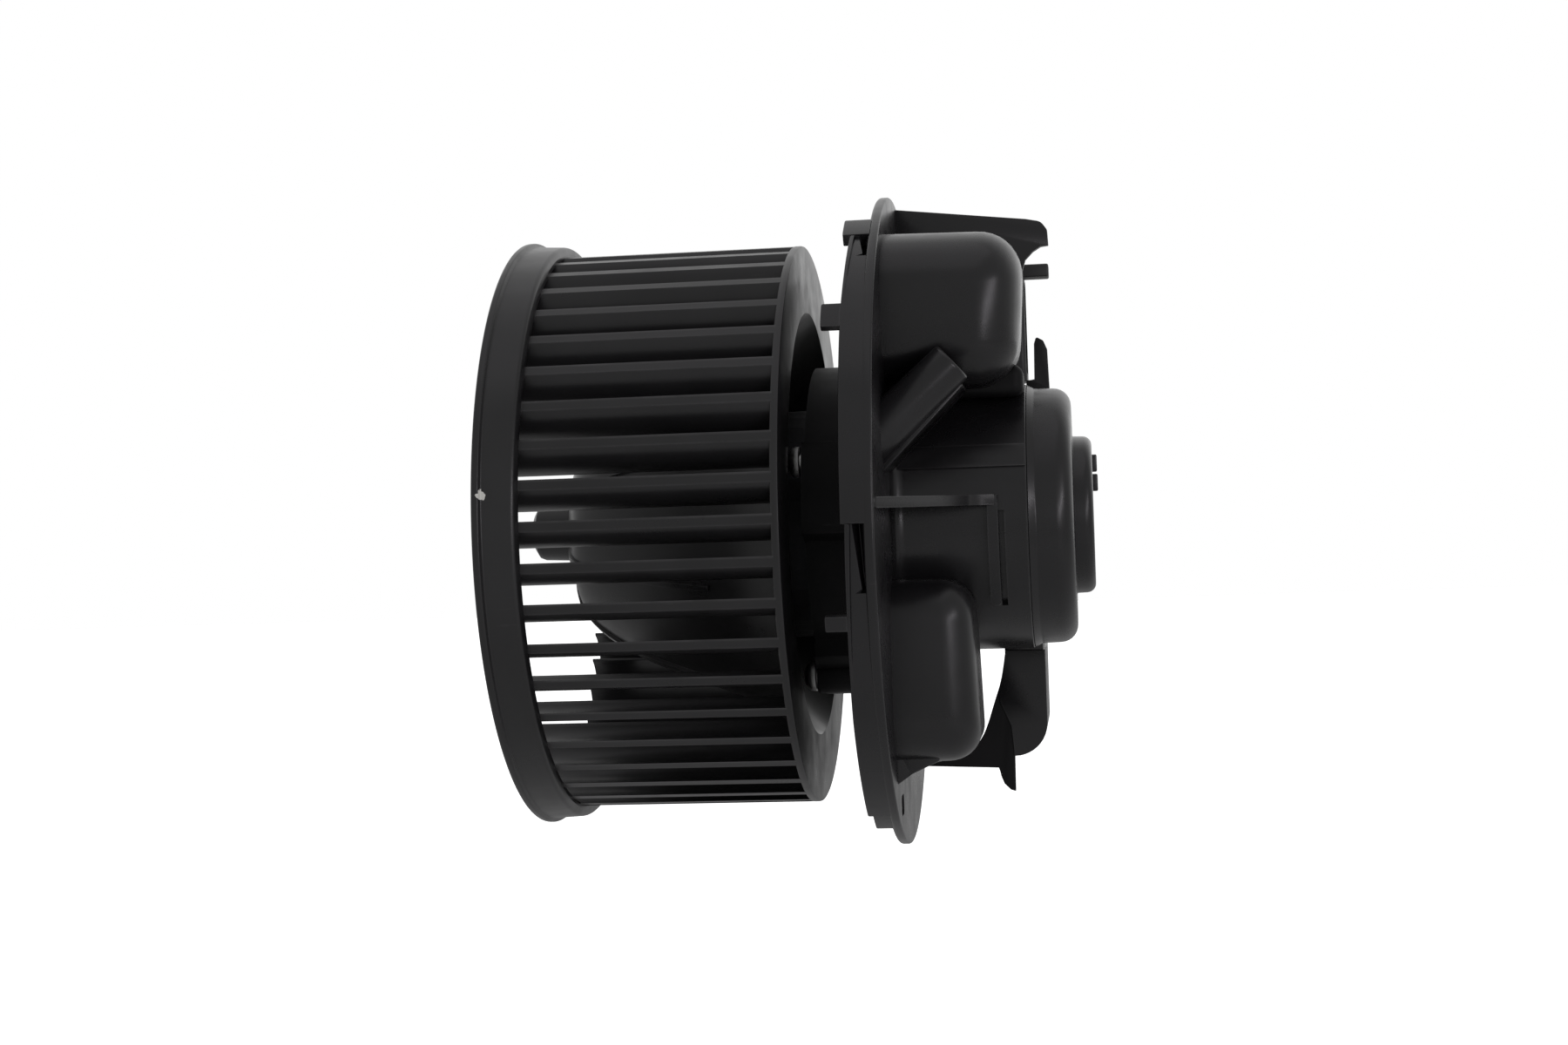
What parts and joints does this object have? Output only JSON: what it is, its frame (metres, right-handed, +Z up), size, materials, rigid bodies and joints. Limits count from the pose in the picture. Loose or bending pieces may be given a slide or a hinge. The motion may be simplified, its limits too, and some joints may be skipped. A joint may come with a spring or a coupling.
{
  "type": "blower motor with squirrel-cage wheel",
  "caption": "Heater blower: squirrel-cage fan wheel with a bell hub on an electric motor held in a round flanged plastic housing with cooling ducts and a rear cap.",
  "frame": {"origin": "on the spin axis, in the seating plane of the round mounting flange (its face towards the wheel)", "axes": "+Y along the spin axis from the wheel's inlet to the motor's rear cap, +Z up as the unit stands in use, +X the side with the plain bayonet sector, upper air bulge and inclined duct"},
  "size_m": [0.164, 0.1457, 0.164],
  "materials": {
    "wheel_plastic": "satin moulded black polypropylene",
    "housing_plastic": "smooth moulded black polypropylene",
    "connector_plastic": "satin black polyamide",
    "shaft_steel": "ground",
    "spring_steel": "bright rolled",
    "black_can_steel": "black passivated sheet steel",
    "screw_zinc": "bright zinc",
    "lamination_steel": "varnished laminations",
    "enamelled_copper": "enamelled copper wire",
    "commutator_copper": "turned copper",
    "nylon_washer": "natural nylon",
    "ferrite": "sintered ferrite",
    "brush_card_plastic": "brown phenolic",
    "brush_carbon": "copper graphite",
    "sintered_bronze": "oil-filled sintered bronze",
    "isolator_rubber": "soft rubber",
    "terminal_brass": "tinned brass"
  },
  "bodies": {
    "housing": {"motor_housing": "housing_plastic", "rear_cap": "housing_plastic", "motor_retainer": "housing_plastic", "connector_housing": "connector_plastic", "terminal_1": "terminal_brass", "terminal_2": "terminal_brass", "motor_can": "black_can_steel", "motor_end_plate": "black_can_steel", "magnet_left": "ferrite", "magnet_right": "ferrite", "magnet_clip_top": "spring_steel", "magnet_clip_bottom": "spring_steel", "front_bearing": "sintered_bronze", "rear_bearing": "sintered_bronze", "front_bearing_retainer": "spring_steel", "rear_bearing_retainer": "spring_steel", "brush_card": "brush_card_plastic", "brush_left": "brush_carbon", "brush_right": "brush_carbon", "brush_spring_left": "spring_steel", "brush_spring_right": "spring_steel", "choke_upper": "ferrite", "choke_lower": "ferrite", "front_isolator": "isolator_rubber", "rear_isolator": "isolator_rubber", "retainer_screw_1": "screw_zinc", "retainer_screw_2": "screw_zinc", "retainer_screw_3": "screw_zinc", "retainer_screw_4": "screw_zinc"},
    "rotor": {"impeller_hub": "wheel_plastic", "impeller_blades": "wheel_plastic", "motor_shaft": "shaft_steel", "hub_spring_clip": "spring_steel", "balance_clip": "spring_steel", "armature_core": "lamination_steel", "armature_winding": "enamelled_copper", "commutator": "commutator_copper", "thrust_washer_front": "nylon_washer", "thrust_washer_rear": "nylon_washer"}
  },
  "joints": [
    {"name": "rotor_spin", "type": "hinge", "parent": "housing", "child": "rotor", "pos_m": [0, 0, 0], "axis": [0, -1, 0], "continuous": true}
  ]
}
